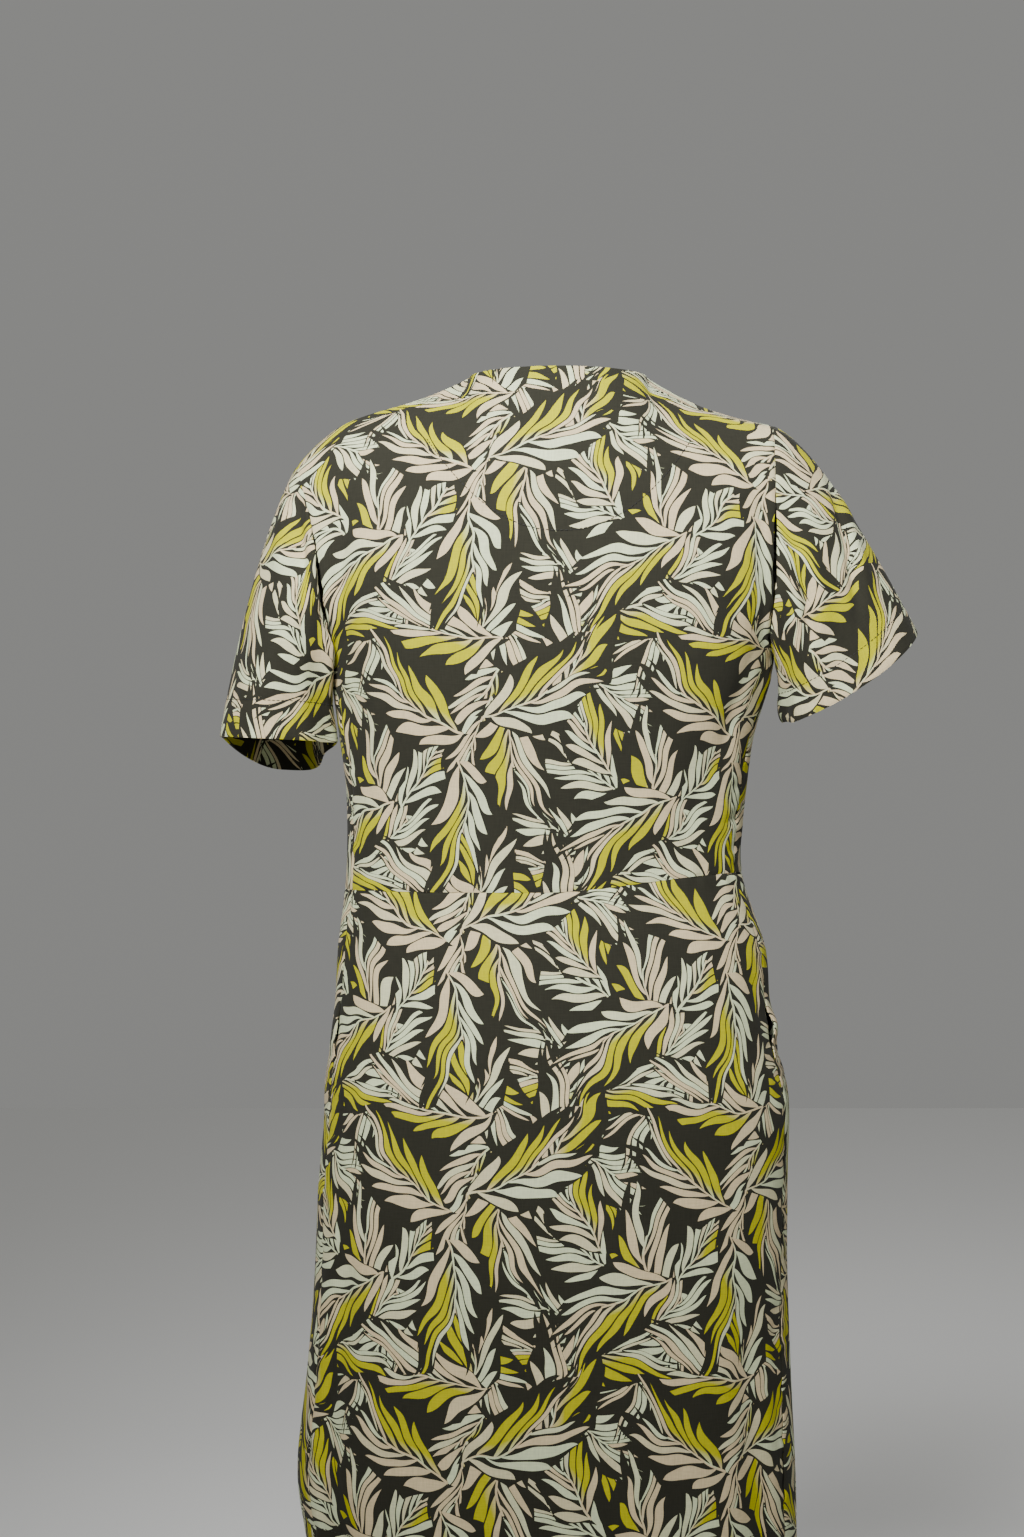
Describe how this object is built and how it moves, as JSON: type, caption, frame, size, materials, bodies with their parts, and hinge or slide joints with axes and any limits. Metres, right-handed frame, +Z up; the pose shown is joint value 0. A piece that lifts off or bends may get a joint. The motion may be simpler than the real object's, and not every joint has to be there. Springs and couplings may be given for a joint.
{
  "type": "shift dress",
  "caption": "Short-sleeved shift dress in a palm-leaf print, with a round neck, a waist seam, a straight skirt and side-seam pockets, hollow and in the form it takes when worn.",
  "frame": {"origin": "between the shoulders, level with where the shoulder seams meet the neckline, on the line that the wearer's shoulders hold", "axes": "+Z up, from the hem to the neck. -Y is the way the back of the dress faces and +Y the way its front faces. +X is the wearer's right."},
  "size_m": [0.5529, 0.2691, 0.9281],
  "materials": {
    "back_bodice": "matt woven cloth",
    "front_bodice": "matt woven cloth",
    "back_skirt": "matt woven cloth",
    "front_skirt": "matt woven cloth",
    "sleeve_left": "matt woven cloth",
    "sleeve_right": "matt woven cloth",
    "pocket_left": "matt woven cloth",
    "pocket_right": "matt woven cloth"
  },
  "bodies": {
    "root": {"back_bodice": "back_bodice", "front_bodice": "front_bodice", "back_skirt": "back_skirt", "front_skirt": "front_skirt", "sleeve_left": "sleeve_left", "sleeve_right": "sleeve_right", "pocket_left": "pocket_left", "pocket_right": "pocket_right"}
  },
  "joints": []
}
